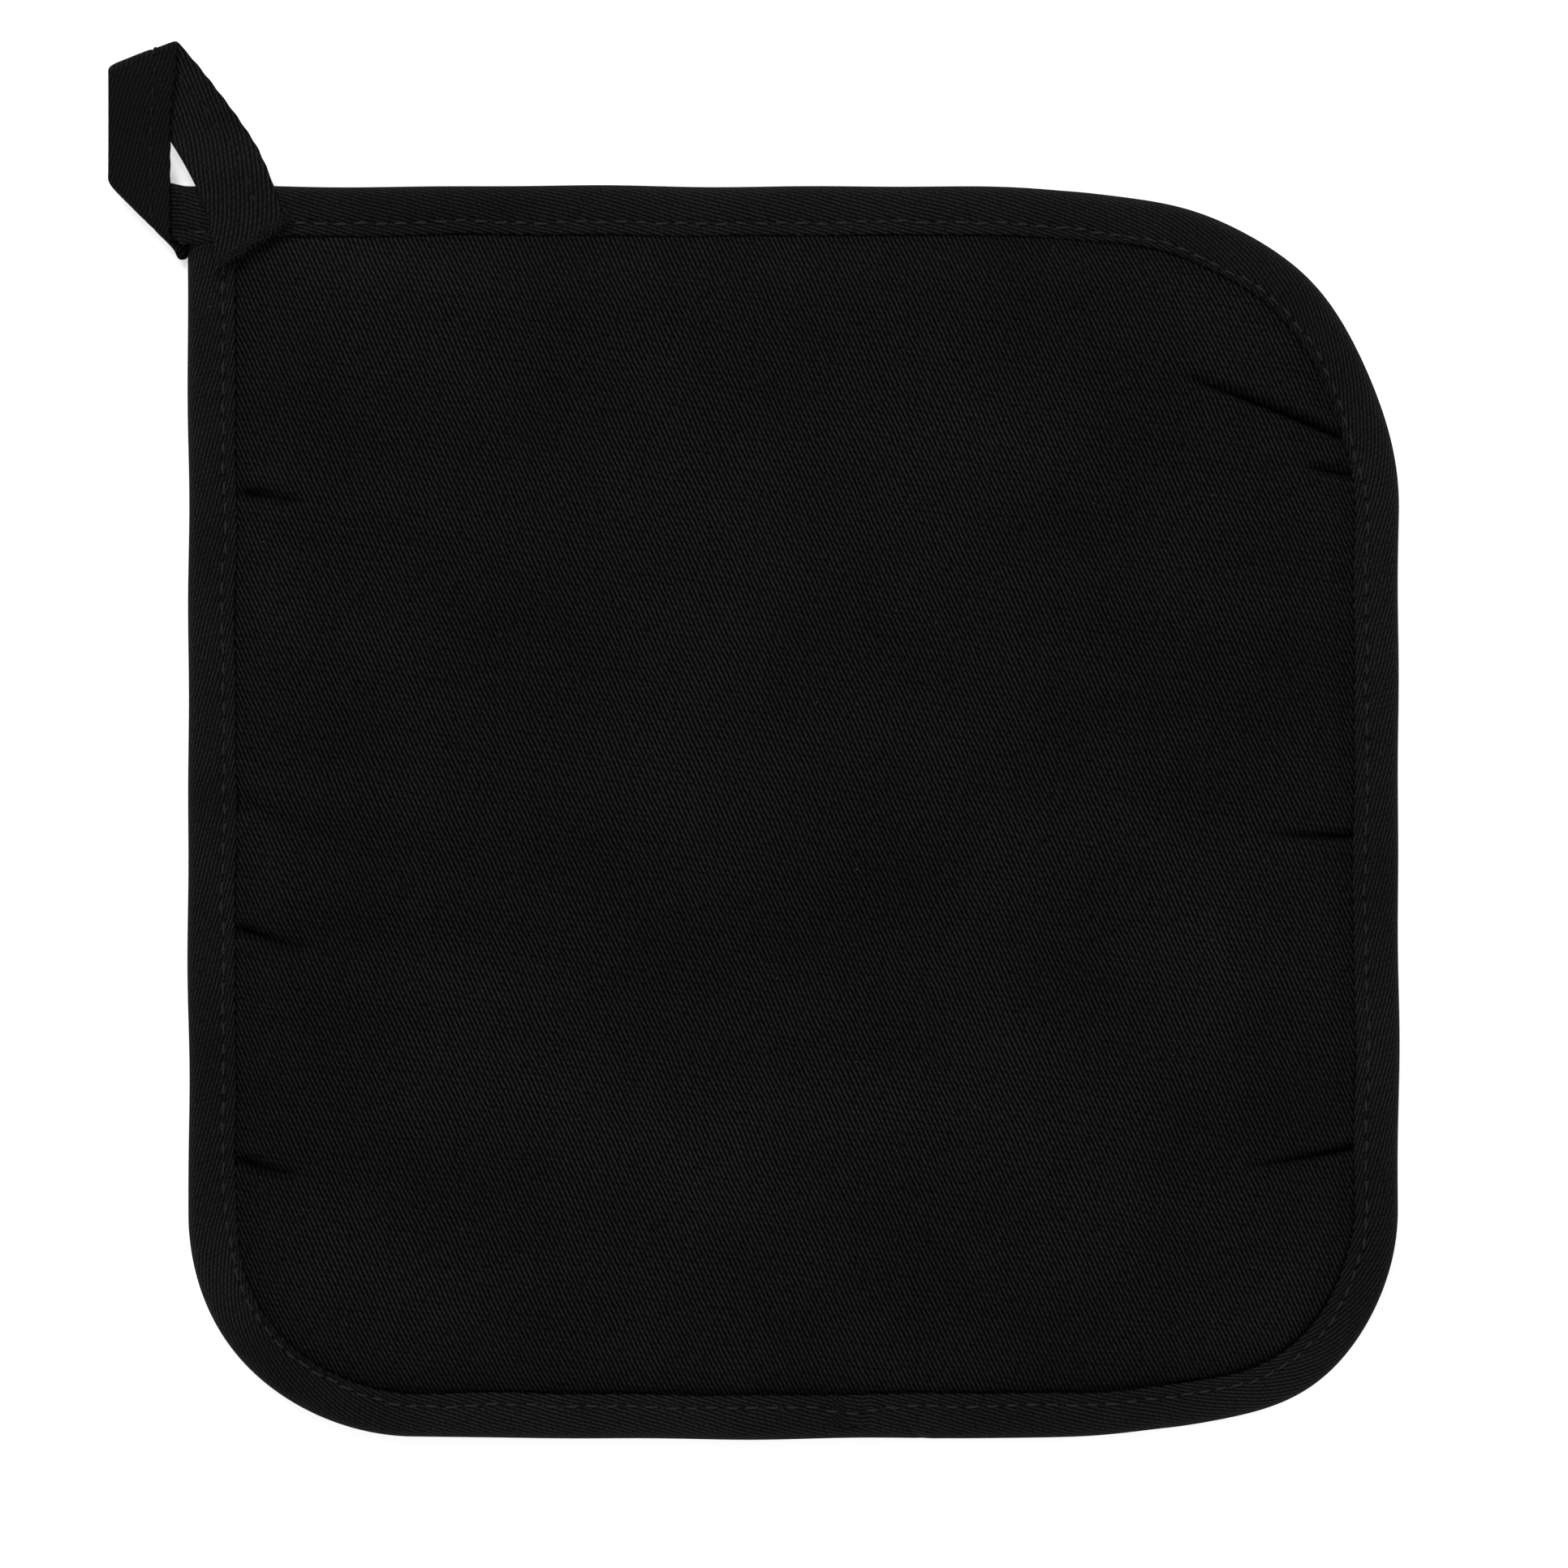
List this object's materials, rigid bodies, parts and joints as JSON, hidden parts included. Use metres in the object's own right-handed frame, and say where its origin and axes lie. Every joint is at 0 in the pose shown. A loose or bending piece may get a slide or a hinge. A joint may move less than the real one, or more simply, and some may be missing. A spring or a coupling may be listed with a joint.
{
  "type": "pot holder",
  "caption": "Square padded pot holder in twill with one square and three rounded corners, a bound edge and a folded tape loop at the square corner.",
  "frame": {"origin": "centre of the pad's outline without the loop, on the surface that the back cover lies on", "axes": "+X to the right and +Y up the pad as it is seen from the front with the loop at the top left; +Z out of the front face"},
  "size_m": [0.213, 0.2308, 0.0072],
  "materials": {
    "twill_cover": "black cotton twill, matt",
    "binding_tape": "black cotton twill cut on the bias and folded, matt",
    "wadding": "undyed cotton wadding",
    "sewing_thread": "blue-black spun thread"
  },
  "bodies": {
    "pad_left": {"front_cover_left": "twill_cover", "back_cover_left": "twill_cover", "wadding_left": "wadding", "binding_left": "binding_tape", "topstitch_front_left": "sewing_thread", "topstitch_back_left": "sewing_thread", "loop_root_tab": "binding_tape", "loop_sewn_end": "binding_tape", "bar_tack": "sewing_thread"},
    "pad_right": {"front_cover_right": "twill_cover", "back_cover_right": "twill_cover", "wadding_right": "wadding", "binding_right": "binding_tape", "topstitch_front_right": "sewing_thread", "topstitch_back_right": "sewing_thread", "piecing_seam": "sewing_thread"},
    "hanging_loop": {"loop_tape": "binding_tape", "loop_stitching": "sewing_thread"}
  },
  "joints": [
    {"name": "pad_fold", "type": "hinge", "parent": "pad_left", "child": "pad_right", "pos_m": [0.0006, 0, 0.00715], "axis": [0, -1, 0], "range_deg": [0, 170], "stiffness_Nm_per_rad": 0.02},
    {"name": "loop_swing", "type": "hinge", "parent": "pad_left", "child": "hanging_loop", "pos_m": [-0.10085, 0.10435, 0.0049], "axis": [0.7071, 0.7071, 0], "range_deg": [0, 110], "stiffness_Nm_per_rad": 0.0002}
  ]
}
